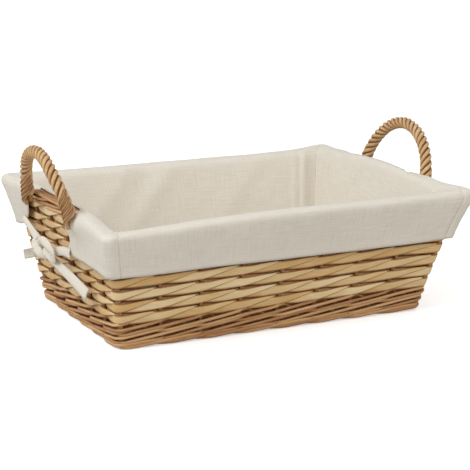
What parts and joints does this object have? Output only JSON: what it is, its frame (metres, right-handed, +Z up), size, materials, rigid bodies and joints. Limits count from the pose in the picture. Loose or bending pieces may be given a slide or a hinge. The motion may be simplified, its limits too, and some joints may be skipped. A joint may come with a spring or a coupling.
{
  "type": "woven laundry basket",
  "caption": "Low rectangular willow tray basket with flared woven sides, a twisted rope handle at each end and a cotton liner with a turned-over cuff tied below the handles.",
  "frame": {"origin": "middle of the basket's footprint, on the surface that it stands on", "axes": "+X along the basket's length towards one handle, +Y across it towards the back, +Z up"},
  "size_m": [0.5094, 0.3536, 0.218],
  "materials": {
    "brown_willow": "round peeled willow rods, steamed brown, dull",
    "pale_willow_strip": "flat split willow strips, pale straw, slight sheen",
    "handle_willow": "twisted willow rods, warm brown, satin",
    "cotton": "plain-weave unbleached cotton, cream",
    "cotton_tape": "folded self-fabric tape, cream"
  },
  "bodies": {
    "basket": {"foot_border": "brown_willow", "foot_wale_1_outer": "brown_willow", "foot_wale_1_inner": "brown_willow", "foot_wale_2_outer": "brown_willow", "foot_wale_2_inner": "brown_willow", "top_wale_outer": "brown_willow", "top_wale_inner": "brown_willow", "rim_border": "brown_willow", "base_sticks": "brown_willow", "front_stakes": "brown_willow", "back_stakes": "brown_willow", "left_stakes": "brown_willow", "right_stakes": "brown_willow", "corner_posts": "brown_willow", "chip_row_1_outer": "pale_willow_strip", "chip_row_2_outer": "pale_willow_strip", "chip_row_3_outer": "pale_willow_strip", "chip_row_4_outer": "pale_willow_strip", "chip_row_5_outer": "pale_willow_strip", "chip_row_6_outer": "pale_willow_strip", "chip_row_7_outer": "pale_willow_strip", "chip_row_1_inner": "pale_willow_strip", "chip_row_2_inner": "pale_willow_strip", "chip_row_3_inner": "pale_willow_strip", "chip_row_4_inner": "pale_willow_strip", "chip_row_5_inner": "pale_willow_strip", "chip_row_6_inner": "pale_willow_strip", "chip_row_7_inner": "pale_willow_strip", "base_strips": "pale_willow_strip", "left_handle_core": "handle_willow", "left_handle_rope": "handle_willow", "left_handle_lashing": "handle_willow", "right_handle_core": "handle_willow", "right_handle_rope": "handle_willow", "right_handle_lashing": "handle_willow"},
    "liner": {"liner_floor": "cotton", "liner_front_wall": "cotton", "liner_back_wall": "cotton", "liner_left_wall": "cotton", "liner_right_wall": "cotton", "liner_front_cuff": "cotton", "liner_back_cuff": "cotton", "liner_left_front_cuff": "cotton", "liner_left_back_cuff": "cotton", "liner_right_front_cuff": "cotton", "liner_right_back_cuff": "cotton", "left_front_tie": "cotton_tape", "left_back_tie": "cotton_tape", "right_front_tie": "cotton_tape", "right_back_tie": "cotton_tape"}
  },
  "joints": [
    {"name": "liner_lift", "type": "slide", "parent": "basket", "child": "liner", "axis": [0, 0, 1], "range_m": [0, 0.24], "deforming": ["liner_front_cuff", "liner_back_cuff", "liner_left_front_cuff", "liner_left_back_cuff", "liner_right_front_cuff", "liner_right_back_cuff", "left_front_tie", "left_back_tie", "right_front_tie", "right_back_tie"]}
  ]
}
